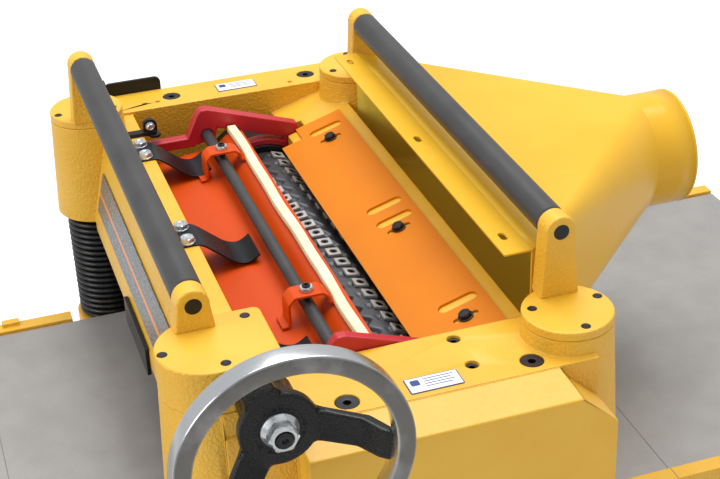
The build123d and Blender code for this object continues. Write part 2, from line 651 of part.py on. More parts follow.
with BuildPart() as handwheel_nut:
    rod_x(WHEEL_Y, WHEEL_Z, 396.5, 399.5, 15)
    with BuildSketch(Plane.YZ.offset(399.5)):
        with Locations((WHEEL_Y, WHEEL_Z)):
            RegularPolygon(11.5, 6)
    extrude(amount=11)
    rod_x(WHEEL_Y, WHEEL_Z, 395, 412, 7, Mode.SUBTRACT)
save(handwheel_nut.part, "handwheel_nut")

with BuildPart() as worm_shaft:
    rod_x(WHEEL_Y, WHEEL_Z, 302, 396.5, 10)
    rod_x(WHEEL_Y, WHEEL_Z, 281, 303, 11.5)
    rod_x(WHEEL_Y, WHEEL_Z, 395, 413, 7)
save(worm_shaft.part, "worm_shaft")

with BuildPart() as worm_wheel:
    rod_z(COLUMN_X, -COLUMN_Y, WALL_TOP + 30, WALL_TOP + 46, 20.8)
    rod_z(COLUMN_X, -COLUMN_Y, WALL_TOP + 29, WALL_TOP + 47, SCREW_R, Mode.SUBTRACT)
save(worm_wheel.part, "worm_wheel")

# Switch
with BuildPart() as switch_box:
    slab(364, 404, -196, -126, 700, 800)
    slab(360, 364, -190, -130, 530, 800)
    slab(368, 400, -199, -130, 705, 795, Mode.SUBTRACT)
    slab(364, 404, -200, -196, 700, 800)
    with BuildSketch(Plane.XZ.offset(201)):
        with Locations((384, 772), (384, 730)):
            Circle(11 + FIT)
    extrude(amount=-10, mode=Mode.SUBTRACT)
save(switch_box.part, "switch_box")

for name, z, proud in (("start_button", 772, 2), ("stop_button", 730, 8)):
    with BuildPart() as button:
        with BuildSketch(Plane.XZ.offset(180)):
            with Locations((384, z)):
                Circle(11)
        extrude(amount=20 + proud)
        with BuildSketch(Plane.XZ.offset(176)):
            with Locations((384, z)):
                Circle(14)
        extrude(amount=4)
    save(button.part, name)
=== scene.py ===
"""Thickness planer: painted castings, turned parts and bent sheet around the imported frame."""

import json
import math

import bmesh
import bpy
import numpy as np
from mathutils import Matrix, Vector

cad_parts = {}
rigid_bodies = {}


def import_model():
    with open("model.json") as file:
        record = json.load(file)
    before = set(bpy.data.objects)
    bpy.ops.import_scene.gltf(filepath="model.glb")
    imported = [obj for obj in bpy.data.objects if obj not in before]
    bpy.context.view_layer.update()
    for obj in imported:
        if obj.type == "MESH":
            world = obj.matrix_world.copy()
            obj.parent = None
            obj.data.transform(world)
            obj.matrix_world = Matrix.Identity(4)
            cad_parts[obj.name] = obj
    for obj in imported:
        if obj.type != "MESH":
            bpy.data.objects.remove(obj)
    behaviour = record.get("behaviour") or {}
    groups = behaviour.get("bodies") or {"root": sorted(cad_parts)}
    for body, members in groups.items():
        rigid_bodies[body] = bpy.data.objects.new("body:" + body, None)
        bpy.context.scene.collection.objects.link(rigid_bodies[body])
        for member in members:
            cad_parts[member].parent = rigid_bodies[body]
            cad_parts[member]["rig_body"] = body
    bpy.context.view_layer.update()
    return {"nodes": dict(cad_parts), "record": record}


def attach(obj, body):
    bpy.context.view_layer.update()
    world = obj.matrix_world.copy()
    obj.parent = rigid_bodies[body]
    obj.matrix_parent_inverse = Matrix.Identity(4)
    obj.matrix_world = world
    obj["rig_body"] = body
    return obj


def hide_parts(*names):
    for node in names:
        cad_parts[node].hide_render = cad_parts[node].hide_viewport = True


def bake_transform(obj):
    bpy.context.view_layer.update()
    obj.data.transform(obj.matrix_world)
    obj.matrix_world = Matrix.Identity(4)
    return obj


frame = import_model()
MM = 0.001
TURN = 2 * math.pi

# Places on the machine, in millimetres, as the frame has them.
CORNERS = [(298, -161), (-298, -161), (298, 161), (-298, 161)]
CUTTER_Y, CUTTER_Z, CUTTER_R = 31, 998, 44
INSERT_ROWS, INSERT_COUNT, INSERT_PITCH = 8, 22, 22.3
WHEEL_Y, WHEEL_Z = -128.2, 1128.2
RETURN_Y, RETURN_Z = 163.5, 1178
CAP_SCREWS = [(287, 132), (289, 194), (330, 163)]
DRIVE_CAP_SCREWS = [(301, -197), (331, -152), (268, -120)]
WALL_TOP, CAP_TOP, DRIVE_CAP_TOP = 1090, 1114, 1155
BAR_Y = -33
SADDLE_X = (-180, 145)
LEAF_X = (-213, -6.5, 200.5)
HOOD_LEFT, HOOD_RIGHT, HOOD_BOTTOM, HOOD_TOP = -250, 246, 1012, 1148
PORT_Z, PORT_R = 1090, 61.2


# ---------------------------------------------------------------- surfaces


def in_axis_order(along, across, upward, axis):
    """The x, y and z of points given along an axis and across it."""
    order = {"x": (along, across, upward), "y": (upward, along, across), "z": (across, upward, along)}
    return order[axis]


class Surface:
    """Points and faces collected from several grids, outlines and rings, all in millimetres."""

    def __init__(self):
        self.points = []
        self.faces = []
        self.count = 0

    def add(self, points, faces):
        points = np.asarray(points, float).reshape(-1, 3)
        self.faces += [tuple(int(corner) + self.count for corner in face) for face in faces]
        self.points.append(points)
        self.count += len(points)

    def grid(self, points):
        """A grid of points, first index u and second index v, joined by four-cornered faces."""
        rows, columns = points.shape[:2]
        index = np.arange(rows * columns).reshape(rows, columns)
        corners = [index[:-1, :-1], index[1:, :-1], index[1:, 1:], index[:-1, 1:]]
        self.add(points, np.stack(corners, -1).reshape(-1, 4))

    def lathe(self, profile, centre, axis="x", steps=64):
        """A profile of (along, radius) turned about an axis: angle t gives along, r cos t, r sin t."""
        profile = np.asarray(profile, float)
        angle = np.linspace(0, TURN, steps + 1)[:, None]
        along = np.broadcast_to(profile[:, 0], (steps + 1, len(profile)))
        across, upward = profile[:, 1] * np.cos(angle), profile[:, 1] * np.sin(angle)
        self.grid(np.stack(in_axis_order(along, across, upward, axis), -1) + np.asarray(centre, float))

    def slab(self, outline, low, high, axis="z"):
        """A flat outline carried from low to high along an axis, with both ends closed."""
        outline = np.asarray(outline, float)
        count = len(outline)
        flat = [np.column_stack([outline, np.full(count, level)]) for level in (low, high)]
        order = {"z": (0, 1, 2), "x": (2, 0, 1), "y": (0, 2, 1)}[axis]
        points = np.concatenate(flat)[:, order]
        ring = np.arange(count)
        after = (ring + 1) % count
        sides = np.column_stack([ring, after, after + count, ring + count])
        self.add(points, list(sides) + [tuple(ring[::-1]), tuple(ring + count)])


def finish_piece(name, surface, material, body, slot, *replaced, **finish):
    """Makes one closed mesh of a surface, with its seams and poles merged and its faces outwards."""
    mesh = bpy.data.meshes.new(name)
    mesh.from_pydata(np.concatenate(surface.points) * MM, [], surface.faces)
    return dress(name, mesh, material, body, slot, *replaced, **finish)


def merge_surface(work):
    """Joins the seams and poles of a surface, and turns its faces outwards."""
    bmesh.ops.remove_doubles(work, verts=work.verts, dist=0.002 * MM)
    bmesh.ops.recalc_face_normals(work, faces=work.faces)


def merge_triangles(work):
    """Joins the loose triangles of a CAD copy, which already point outwards, into flat faces."""
    bmesh.ops.remove_doubles(work, verts=work.verts, dist=0.06 * MM)
    bmesh.ops.dissolve_degenerate(work, edges=work.edges, dist=0.1 * MM)
    bmesh.ops.dissolve_limit(work, angle_limit=math.radians(0.6), verts=work.verts, edges=work.edges)


def dress(
    name, mesh, material, body, slot, *replaced, crease=35, bevel=0.0, thickness=0.0, merge=merge_surface
):
    """Merges a mesh, keeps its edges sharper than crease, gives it its finish, and lets it ride on its body
    in place of the CAD nodes."""
    work = bmesh.new()
    work.from_mesh(mesh)
    merge(work)
    work.to_mesh(mesh)
    work.free()
    mesh.materials.clear()
    mesh.materials.append(material)
    mesh.polygons.foreach_set("material_index", np.zeros(len(mesh.polygons), np.int32))
    mesh.shade_smooth()
    mesh.set_sharp_from_angle(angle=math.radians(crease))
    piece = bpy.data.objects.new(name, mesh)
    bpy.context.scene.collection.objects.link(piece)
    if thickness:
        wall = piece.modifiers.new("wall", "SOLIDIFY")
        wall.thickness = thickness * MM
        wall.offset = -1
    if bevel:
        edge = piece.modifiers.new("edge", "BEVEL")
        edge.width = bevel * MM
        edge.segments = 3
        edge.limit_method = "ANGLE"
        edge.angle_limit = math.radians(crease)
        edge.use_clamp_overlap = False
        edge.harden_normals = True
    if body:
        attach(piece, body)
    if replaced:
        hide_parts(*replaced)
    return piece


def softened(node, material, width):
    """A copy of a CAD node, with the same body, whose hard edges are rounded."""
    source = frame["nodes"][node]
    slots = {part["node"]: part["material_slot"] for part in frame["record"]["subparts"]}
    name, mesh, body = node + "_body", source.data.copy(), source["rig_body"]
    return dress(name, mesh, material, body, slots[node], node, bevel=width, merge=merge_triangles)


def rectangle(x0, x1, y0, y1):
    """The corners of a rectangle, in order."""
    return [(x0, y0), (x1, y0), (x1, y1), (x0, y1)]


def rounded(points, radius, steps=6):
    """An outline whose corners are arcs of one radius, each tangent to its two sides."""
    points = np.asarray(points, float)
    result = []
    for before, corner, after in zip(np.roll(points, 1, 0), points, np.roll(points, -1, 0)):
        one, two = before - corner, after - corner
        one, two = one / np.linalg.norm(one), two / np.linalg.norm(two)
        half = math.acos(np.clip(one @ two, -1, 1)) / 2
        reach = radius / math.tan(half)
        middle = corner + (one + two) / np.linalg.norm(one + two) * radius / math.sin(half)
        start, end = corner + one * reach - middle, corner + two * reach - middle
        share = np.linspace(0, 1, steps)[:, None]
        spread = math.pi - 2 * half
        arc = (np.sin((1 - share) * spread) * start + np.sin(share * spread) * end) / math.sin(spread)
        result.append(middle + arc)
    return np.concatenate(result)


def smooth_line(points, spacing=2.0, rounds=40):
    """Evenly spaced points along a line of straight runs, relaxed so that its bends become smooth curves."""
    points = np.asarray(points, float)
    length = np.concatenate([[0], np.cumsum(np.linalg.norm(np.diff(points, axis=0), axis=1))])
    place = np.linspace(0, length[-1], int(length[-1] / spacing) + 2)
    line = np.column_stack([np.interp(place, length, column) for column in points.T])
    for _ in range(rounds):
        line[1:-1] = 0.25 * line[:-2] + 0.5 * line[1:-1] + 0.25 * line[2:]
    return line


def ease(value):
    """The smooth step 3t^2 - 2t^3 of a value held between 0 and 1."""
    value = np.clip(value, 0, 1)
    return value * value * (3 - 2 * value)


def ribbon(line, thickness):
    """The closed outline of a sheet seen edge on: its middle line moved half a thickness to each side."""
    run = np.gradient(line, axis=0)
    side = np.column_stack([-run[:, 1], run[:, 0]]) / np.linalg.norm(run, axis=1)[:, None] * thickness / 2
    return np.concatenate([line + side, (line - side)[::-1]])


def rings(surface, levels, centre, axis="z", steps=24, turn=0.0):
    """Stacked rings of (level, radius, sides): a round ring has radius r, and one with flats has
    a / cos(t) of the angle t from the middle of each flat, where a is the distance to the flat."""
    angle = np.linspace(0, TURN, steps + 1) + turn
    rows = []
    for level, radius, sides in levels:
        part = TURN / (sides or 1)
        shape = 1 / np.cos(np.mod(angle, part) - part / 2) if sides else np.ones_like(angle)
        reach = radius * shape
        rows.append((np.full_like(angle, level), reach * np.cos(angle), reach * np.sin(angle)))
    level, across, upward = np.stack(rows).transpose(1, 2, 0)
    surface.grid(np.stack(in_axis_order(level, across, upward, axis), -1) + np.asarray(centre, float))


def hex_bolt(surface, centre, flat=6.5, height=5.5, washer=8.5, axis="z"):
    """A flat washer, a six-sided head with a turned top edge, and a shallow dish in its face."""
    top = 1.5 + height
    levels = [
        (0, 0, 0), (0, washer, 0), (1.3, washer, 0), (1.5, washer - 0.3, 0), (1.5, flat, 6),
        (top - 0.8, flat, 6), (top, flat - 0.5, 0), (top, flat * 0.6, 0), (top - 0.5, flat * 0.5, 0),
        (top - 0.5, 0, 0),
    ]
    rings(surface, levels, centre, axis)


def socket_screw(surface, centre, radius, depth, socket=0.45):
    """A cylindrical head with a chamfered rim, and a hexagon socket of a given depth in its face."""
    flat = radius * socket
    levels = [(-depth - 1, 0, 0), (-depth - 1, radius, 0), (-0.6, radius, 0), (0, radius - 0.6, 0),
              (0, flat * 1.35, 0), (-0.2, flat, 6), (-depth, flat, 6), (-depth, 0, 0)]
    rings(surface, levels, centre)


# ---------------------------------------------------------------- finishes


def linear(colour):
    """An sRGB hex colour as linear red, green, blue and 1."""
    parts = [int(colour[i:i + 2], 16) / 255 for i in (1, 3, 5)]
    curve = [part / 12.92 if part <= 0.04045 else ((part + 0.055) / 1.055) ** 2.4 for part in parts]
    return tuple(curve) + (1.0,)


def add_node(tree, kind, inputs=(), **settings):
    """Adds a node with its settings, and fills or links its inputs."""
    made = tree.nodes.new(kind)
    for name, value in settings.items():
        setattr(made, name, value)
    for name, value in dict(inputs).items():
        socket = made.inputs[name]
        if isinstance(value, bpy.types.NodeSocket):
            tree.links.new(value, socket)
        else:
            socket.default_value = value
    return made


def start_material(name, **fixed):
    """A material with a Principled shader and the Object coordinates that its patterns use."""
    material = bpy.data.materials.new(name)
    material.use_nodes = True
    tree = material.node_tree
    tree.nodes.clear()
    inputs = {key.replace("_", " "): value for key, value in fixed.items()}
    shader = add_node(tree, "ShaderNodeBsdfPrincipled", inputs)
    add_node(tree, "ShaderNodeOutputMaterial", {"Surface": shader.outputs["BSDF"]})
    place = add_node(tree, "ShaderNodeTexCoord").outputs["Object"]
    return material, tree, shader, place


def grain(tree, place, size, stretch=(1, 1, 1), detail=3.0):
    """Noise whose features are size millimetres across, drawn out along an axis by stretch."""
    scaled = add_node(tree, "ShaderNodeMapping", {"Vector": place, "Scale": [1 / part for part in stretch]})
    inputs = {"Vector": scaled.outputs["Vector"], "Scale": 1 / (size * MM), "Detail": detail}
    inputs["Roughness"] = 0.55
    return add_node(tree, "ShaderNodeTexNoise", inputs).outputs["Fac"]


def spread(tree, value, low, high):
    """A 0 to 1 pattern remapped so that its middle half runs from low to high."""
    inputs = {"Value": value, "From Min": 0.3, "From Max": 0.7, "To Min": low, "To Max": high}
    return add_node(tree, "ShaderNodeMapRange", inputs).outputs["Result"]


def shade(tree, value, dark, light):
    """A colour between two sRGB hex colours, chosen by a 0 to 1 pattern."""
    inputs = {0: spread(tree, value, 0, 1), 6: linear(dark), 7: linear(light)}
    return add_node(tree, "ShaderNodeMix", inputs, data_type="RGBA").outputs[2]


def bump(tree, height, depth):
    """Relief of depth millimetres from a 0 to 1 pattern."""
    inputs = {"Height": height, "Distance": depth * MM, "Strength": 1.0}
    return add_node(tree, "ShaderNodeBump", inputs).outputs["Normal"]


def cast_enamel(name, dark, light, pebble=3.0, depth=1.5, rough=0.38, shine=0.5):
    """Enamel sprayed over sand-cast iron: a pebbled skin on the sides, smoother where the top was faced."""
    gloss = {"Coat_Weight": 0.08, "Coat_Roughness": 0.25, "Specular_IOR_Level": shine}
    material, tree, shader, place = start_material(name, **gloss)
    patch = grain(tree, place, 70)
    skin = grain(tree, place, pebble, detail=2.0)
    normal = add_node(tree, "ShaderNodeNewGeometry").outputs["Normal"]
    up = add_node(tree, "ShaderNodeSeparateXYZ", {"Vector": normal}).outputs["Z"]
    inputs = {"Value": up, "From Min": 0.5, "From Max": 0.95, "To Min": 1.0, "To Max": 0.12}
    facing = add_node(tree, "ShaderNodeMapRange", inputs).outputs["Result"]
    relief = add_node(tree, "ShaderNodeMath", {0: skin, 1: facing}, operation="MULTIPLY").outputs["Value"]
    settle = shade(tree, patch, dark, light)
    tree.links.new(settle, shader.inputs["Base Color"])
    tree.links.new(spread(tree, skin, rough - 0.05, rough + 0.08), shader.inputs["Roughness"])
    tree.links.new(bump(tree, relief, depth), shader.inputs["Normal"])
    return material


def sheet_enamel(name, dark, light, rough=0.26, peel=0.05):
    """Baked enamel or powder coat on steel sheet: glossy, even, with a faint orange peel 4 mm across."""
    material, tree, shader, place = start_material(name, Specular_IOR_Level=0.25)
    patch = grain(tree, place, 160)
    skin = grain(tree, place, 4, detail=1.0)
    tree.links.new(shade(tree, patch, dark, light), shader.inputs["Base Color"])
    tree.links.new(spread(tree, patch, rough - 0.03, rough + 0.05), shader.inputs["Roughness"])
    tree.links.new(bump(tree, skin, peel), shader.inputs["Normal"])
    return material


def bare_metal(name, dark, light, rough, stretch, size=0.6, depth=0.03, metallic=1.0):
    """Machined or ground metal: fine marks drawn out along the cut, over a slow change of tone."""
    material, tree, shader, place = start_material(name, Metallic=metallic)
    patch = grain(tree, place, 45)
    marks = grain(tree, place, size, stretch)
    both = add_node(tree, "ShaderNodeMix", {0: 0.5, 2: patch, 3: marks}).outputs[0]
    tree.links.new(shade(tree, both, dark, light), shader.inputs["Base Color"])
    tree.links.new(spread(tree, marks, rough - 0.08, rough + 0.1), shader.inputs["Roughness"])
    tree.links.new(bump(tree, marks, depth), shader.inputs["Normal"])
    return material


def turned_metal(name, dark, light, rough, centre):
    """Metal turned about the X axis: marks 0.5 mm apart that follow the distance from the axis, and painted
    shade that makes the face looking along +X darker than the polished outside."""
    material, tree, shader, place = start_material(name, Metallic=1.0)
    inputs = {"Vector": place, "Location": [0, -centre[0] * MM, -centre[1] * MM]}
    centred = add_node(tree, "ShaderNodeMapping", inputs).outputs["Vector"]
    flat = add_node(tree, "ShaderNodeVectorMath", {0: centred, 1: (0.0, 1.0, 1.0)}, operation="MULTIPLY")
    inputs = {0: flat.outputs["Vector"]}
    radius = add_node(tree, "ShaderNodeVectorMath", inputs, operation="LENGTH").outputs["Value"]
    along = add_node(tree, "ShaderNodeSeparateXYZ", {"Vector": place}).outputs["X"]
    joined = add_node(tree, "ShaderNodeCombineXYZ", {"X": radius, "Y": along})
    marks = grain(tree, joined.outputs["Vector"], 0.5, detail=4.0)
    patch = grain(tree, place, 40)
    normal = add_node(tree, "ShaderNodeNewGeometry").outputs["Normal"]
    facing = add_node(tree, "ShaderNodeSeparateXYZ", {"Vector": normal}).outputs["X"]
    both = add_node(tree, "ShaderNodeMix", {0: 0.2, 2: patch, 3: marks}).outputs[0]
    # Painted shade: taking away the normal's X darkens the face that looks along +X.
    tone = add_node(tree, "ShaderNodeMath", {0: both, 1: facing}, operation="SUBTRACT").outputs["Value"]
    inputs = {"Value": tone, "From Min": -0.7, "From Max": 0.5, "To Min": 0.2, "To Max": 0.8}
    grain_and_painted_face_shade = add_node(tree, "ShaderNodeMapRange", inputs).outputs["Result"]
    tree.links.new(shade(tree, grain_and_painted_face_shade, dark, light), shader.inputs["Base Color"])
    tree.links.new(spread(tree, marks, rough - 0.04, rough + 0.06), shader.inputs["Roughness"])
    tree.links.new(bump(tree, marks, 0.008), shader.inputs["Normal"])
    return material


def moulded(name, dark, light, rough, size=1.2, depth=0.06, **fixed):
    """Moulded rubber or plastic: a fine sparked texture over an even colour."""
    material, tree, shader, place = start_material(name, **fixed)
    patch = grain(tree, place, 25)
    skin = grain(tree, place, size)
    tree.links.new(shade(tree, patch, dark, light), shader.inputs["Base Color"])
    tree.links.new(spread(tree, skin, rough - 0.06, rough + 0.06), shader.inputs["Roughness"])
    tree.links.new(bump(tree, skin, depth), shader.inputs["Normal"])
    return material


yellow_cast = cast_enamel("enamel_on_cast_iron", "#E3AD2A", "#EBB93A")
smooth_cast = cast_enamel("enamel_on_filled_iron", "#E4AE2C", "#EAB838", depth=0.2, rough=0.42)
yellow_sheet = sheet_enamel("yellow_baked_enamel", "#E3AD2A", "#EAB738")
# The hood's inside takes a paler, greener copy of the same enamel: painted light, for the light that bounces
# inside the hood.
hood_inside_painted_light = sheet_enamel("hood_inside_painted_light_enamel", "#DAC54A", "#E0CC50", rough=0.5)
orange_sheet = sheet_enamel("orange_powder_coat", "#D67800", "#DE8002", rough=0.5)
red_orange_sheet = sheet_enamel("vermilion_powder_coat", "#D04400", "#D84E02", rough=0.46)
red_cast = cast_enamel("red_enamel_on_cast_iron", "#B01824", "#C4222E", pebble=1.8, depth=0.15, rough=0.4)
rough_black = cast_enamel(
    "black_enamel_on_rough_iron", "#050506", "#101011", pebble=1.5, depth=1.2, rough=0.26, shine=0.3
)
black_sheet = sheet_enamel("black_enamel", "#151516", "#202022", rough=0.38)
spring_steel = bare_metal("blued_spring_steel", "#1B1C20", "#34363C", 0.36, (1, 8, 1), metallic=0.8)
roller_skin = bare_metal("phosphated_tube", "#39393A", "#4B4B4C", 0.44, (60, 1, 1), metallic=0.3)
black_oxide = bare_metal("black_oxide_steel", "#232325", "#3A3A3D", 0.4, (3, 1, 1), metallic=0.7)
cutter_skin = bare_metal("oiled_cutter_steel", "#46484B", "#5C5E62", 0.42, (1, 6, 6), size=3, metallic=0.5)
carbide = bare_metal("ground_carbide", "#B5B0AA", "#DAD6D0", 0.36, (8, 1, 1), size=1.5, metallic=0.45)
ground_iron = bare_metal(
    "ground_cast_iron", "#949290", "#A8A6A3", 0.46, (1, 3, 1), size=0.9, depth=0.012, metallic=0.3
)
bright_steel = bare_metal("drawn_steel", "#A9AAAD", "#CFD0D2", 0.26, (30, 1, 1))
zinc = bare_metal("zinc_plated_steel", "#B4B8BC", "#D6DADD", 0.3, (1, 1, 1), size=5, metallic=0.8)
# The rim's dark colour is painted shade on its face that looks along +X; the light colour is its outside.
rim_steel = turned_metal("polished_rim_steel", "#6E6C69", "#D2D5D8", 0.24, (WHEEL_Y, WHEEL_Z))
bronze = bare_metal("tin_bronze", "#8C6A34", "#B38B4B", 0.34, (1, 1, 12))
rubber = moulded("bellows_rubber", "#0B0B0C", "#161617", 0.3)
seal_foam = moulded("pale_felt_strip", "#F3E6B4", "#FBF3D0", 0.85, size=2.0, depth=0.5)
black_plastic = moulded("black_abs", "#111112", "#1B1B1C", 0.38, size=0.8)
green_plastic = moulded("green_abs", "#127A33", "#178C3C", 0.25, size=0.8, depth=0.01)
red_plastic = moulded("red_abs", "#B81414", "#CC1C1A", 0.25, size=0.8, depth=0.01)


def front_panel_print():
    """A printed polyester panel: charcoal with a fine grey fleck, and one orange line along it."""
    material, tree, shader, place = start_material("printed_polyester_panel", Roughness=0.35, Coat_Weight=0.2)
    fleck = grain(tree, place, 2.0, detail=1.0)
    tone = shade(tree, fleck, "#2C2D2F", "#8D8E90")
    height = add_node(tree, "ShaderNodeSeparateXYZ", {"Vector": place}).outputs["Z"]
    line_low, line_high = 1030.5 * MM, 1034.5 * MM
    low = add_node(tree, "ShaderNodeMath", {0: height, 1: line_low}, operation="GREATER_THAN")
    high = add_node(tree, "ShaderNodeMath", {0: height, 1: line_high}, operation="LESS_THAN")
    inputs = {0: low.outputs["Value"], 1: high.outputs["Value"]}
    line = add_node(tree, "ShaderNodeMath", inputs, operation="MULTIPLY").outputs["Value"]
    inputs = {0: line, 6: tone, 7: linear("#E88A2E")}
    mixed = add_node(tree, "ShaderNodeMix", inputs, data_type="RGBA").outputs[2]
    tree.links.new(mixed, shader.inputs["Base Color"])
    return material


panel_print = front_panel_print()
plate_white = moulded("white_printed_foil", "#E6E8EC", "#F1F2F4", 0.35, size=3, depth=0.01)
plate_blue = moulded("blue_ink", "#2C3A78", "#34438A", 0.4, size=3, depth=0.01)


# ---------------------------------------------------------------- pieces that keep their CAD shape

ROUNDED = {
    "head_casting": (yellow_cast, 1.3),
    "gear_cover": (smooth_cast, 2.0),
    "base_casting": (yellow_cast, 3.0),
    "stand_cabinet": (yellow_sheet, 1.2),
    "belt_guard": (yellow_sheet, 1.5),
    "table_casting": (ground_iron, 0.8),
    "table_extensions": (ground_iron, 0.8),
    "chipbreaker_arms": (red_cast, 1.8),
    "bearing_housings": (black_oxide, 1.2),
    "switch_box": (black_plastic, 1.0),
    "start_button": (green_plastic, 0.8),
    "stop_button": (red_plastic, 1.2),
    "chipbreaker_shoe": (black_oxide, 0.5),
    "pressure_bar": (black_oxide, 0.5),
    "infeed_blocks": (black_oxide, 0.5),
    "outfeed_blocks": (black_oxide, 0.5),
}
KEPT = {
    "posts": bright_steel,
    "motor": black_sheet,
    "motor_rotor": black_oxide,
    "drive_belts": rubber,
    "leadscrew_1": bright_steel,
    "leadscrew_2": bright_steel,
    "leadscrew_3": bright_steel,
    "leadscrew_4": bright_steel,
    "drive_chains": black_oxide,
    "table_nuts": bronze,
    "bed_roller_front": bright_steel,
    "bed_roller_rear": bright_steel,
    "kickback_fingers": black_oxide,
    "cutter_pulley": black_oxide,
    "infeed_roller": bright_steel,
    "outfeed_roller": bright_steel,
    "infeed_springs": bright_steel,
    "outfeed_springs": bright_steel,
    "gear_cluster_1": bright_steel,
    "gear_cluster_2": bright_steel,
    "gear_cluster_3": bright_steel,
    "chipbreaker_bar": roller_skin,
    "worm_wheel": bronze,
    "rear_plate": orange_sheet,
}


def paint_sides(piece, material):
    """Enamels a table casting's sides and underside, but not its ground top or where two castings meet."""
    half_width, ground_depth, joint_start, joint_end = 251.9, 853.5, 295, 330
    mesh = piece.data
    mesh.materials.append(material)
    centre = np.zeros(len(mesh.polygons) * 3)
    mesh.polygons.foreach_get("center", centre)
    facing = np.zeros(len(mesh.polygons) * 3)
    mesh.polygons.foreach_get("normal", facing)
    x, y, z = np.abs(centre.reshape(-1, 3).T) / MM
    joint = (np.abs(facing[1::3]) > 0.9) & (y > joint_start) & (y < joint_end)
    painted = ((x > half_width) | (z < ground_depth)) & ~joint
    mesh.polygons.foreach_set("material_index", painted.astype(np.int32))


for node, (material, width) in ROUNDED.items():
    piece = softened(node, material, width)
    if node.startswith("table"):
        paint_sides(piece, yellow_cast)
for node, material in KEPT.items():
    mesh = frame["nodes"][node].data
    mesh.materials.clear()
    mesh.materials.append(material)


# ---------------------------------------------------------------- column caps

def eared_cap(outline, low, high, ear_x, ear_y, half):
    """A cap of one outline, with an upright ear whose crown is an arc about the roller's axis."""
    cap = Surface()
    cap.slab(outline, low, high)
    turn = np.linspace(-0.15, math.pi + 0.15, 33)
    crown = np.column_stack([ear_y + 14.4 * np.cos(turn), RETURN_Z + 14.4 * np.sin(turn)])
    foot = [(ear_y - half, high - 1), (ear_y + half, high - 1)]
    cap.slab(np.vstack([crown, foot]), ear_x - 10, ear_x + 10, "x")
    return cap


def make_caps():
    """Three round caps with low ears, and the tall cap over the worm drive: half an oval on a block."""
    turn = np.linspace(0, TURN, 97)[:-1]
    for number, (x, y) in enumerate(CORNERS):
        ear_x, ear_y = math.copysign(266, x), math.copysign(RETURN_Y, y)
        if number:
            disc = np.column_stack([x + 41 * np.cos(turn), y + 41 * np.sin(turn)])
            cap = eared_cap(disc, CAP_TOP - 9, CAP_TOP, ear_x, ear_y, 18.5)
            name = f"round_cap_{number}"
            finish_piece(name, cap, yellow_cast, "frame", "yellow_paint", "column_caps", bevel=1.8)
    block = rounded([(342, -105), (256, -105), (256, -161), (342, -161)], 7, 8)[:16]
    half_turn = np.linspace(math.pi, TURN, 49)
    oval = np.column_stack([299 + 43 * np.cos(half_turn), -161 + 42 * np.sin(half_turn)])
    cap = eared_cap(np.vstack([block, oval]), CAP_TOP + 0.2, DRIVE_CAP_TOP, 266, -RETURN_Y, 17.5)
    finish_piece("worm_drive_cap", cap, yellow_cast, "frame", "yellow_paint", "gear_column_cap", bevel=2.2)


# ---------------------------------------------------------------- handwheel

def make_handwheel():
    """The turned rim, the flange nut, and the rough cast spider: at angle a from the nearest arm its edge is
    the ninth-power blend of the hub's radius and 15 / (sin a + 0.03), and its face leans out to the rim."""
    centre = (0, WHEEL_Y, WHEEL_Z)
    rim = Surface()
    section = rounded([(425, 79.6), (445, 79.6), (445, 94.6), (425, 94.6)], 2.6)
    rim.lathe(np.vstack([section, section[:1]]), centre, steps=144)
    finish_piece("handwheel_rim", rim, rim_steel, "handwheel", "polished_rim", "handwheel")

    angle = np.linspace(0, TURN, 721)[:, None]
    arms = [np.abs((angle - math.radians(at) + math.pi) % TURN - math.pi) for at in (-9, 111, 231)]
    lean = np.sin(np.minimum(np.min(arms, axis=0), math.pi / 2))
    reach = np.minimum(15.0 / (lean + 0.03), 81)
    edge = np.minimum((32.5 ** 9 + reach ** 9) ** (1 / 9), 81)
    radius = edge * np.linspace(0, 1, 34) ** 0.8
    inside = np.maximum(15.0 - radius * (lean + 0.03), 33 - radius)
    corner = 3.0 * (1 - np.sqrt(np.clip(1 - (1 - np.clip(inside / 3.0, 0, 1)) ** 2, 0, 1)))
    front = np.interp(radius, [0, 36, 62, 73, 81], [397, 397.5, 411, 428, 434]) - corner
    front -= 0.8 * ease((21 - radius) / 1.5)
    back = np.interp(radius, [0, 36, 70, 81], [386.5, 387, 404, 421]) + corner
    across, upward = radius * np.cos(angle), radius * np.sin(angle)
    faces = [np.stack([front, across, upward], -1), np.stack([back, across, upward], -1)[:, ::-1]]
    spider = Surface()
    spider.grid(np.concatenate(faces, axis=1) + np.asarray(centre, float))
    boss = [(350, 10.1, 0), (350, 23, 0), (351, 24, 0), (388, 24, 0), (388, 10.1, 0), (350, 10.1, 0)]
    rings(spider, boss, centre, "x")
    finish_piece("handwheel_spider", spider, rough_black, "handwheel", "black_paint", "handwheel", crease=50)

    nut = Surface()
    levels = [
        (396.2, 7.2, 0), (396.2, 15.6, 0), (397.8, 15.6, 0), (401.8, 12.2, 0), (401.8, 11.2, 6),
        (409.4, 11.2, 6), (410.8, 10.2, 0), (410.8, 8.2, 0), (409.6, 7.2, 0), (396.2, 7.2, 0),
    ]
    rings(nut, levels, centre, "x", steps=48, turn=0.2)
    finish_piece("flange_nut", nut, zinc, "handwheel", "bright_steel", "handwheel_nut")
    shaft = Surface()
    profile = [
        (281, 0), (281, 11.5), (303, 11.5), (303, 10), (396.2, 10), (396.2, 7), (411.8, 7), (412.8, 6),
        (412.8, 2.8), (410.6, 1.2), (410.6, 0),
    ]
    shaft.lathe(profile, centre, steps=40)
    finish_piece("worm_and_shaft", shaft, black_oxide, "handwheel", "bright_steel", "worm_shaft")


# ---------------------------------------------------------------- cutterhead

def row_angle(row, x):
    """How far a row of inserts has turned at x, in degrees from straight up towards the infeed side."""
    return 26.8 + row * 360 / INSERT_ROWS - (x + 238) * 2.9 / INSERT_PITCH


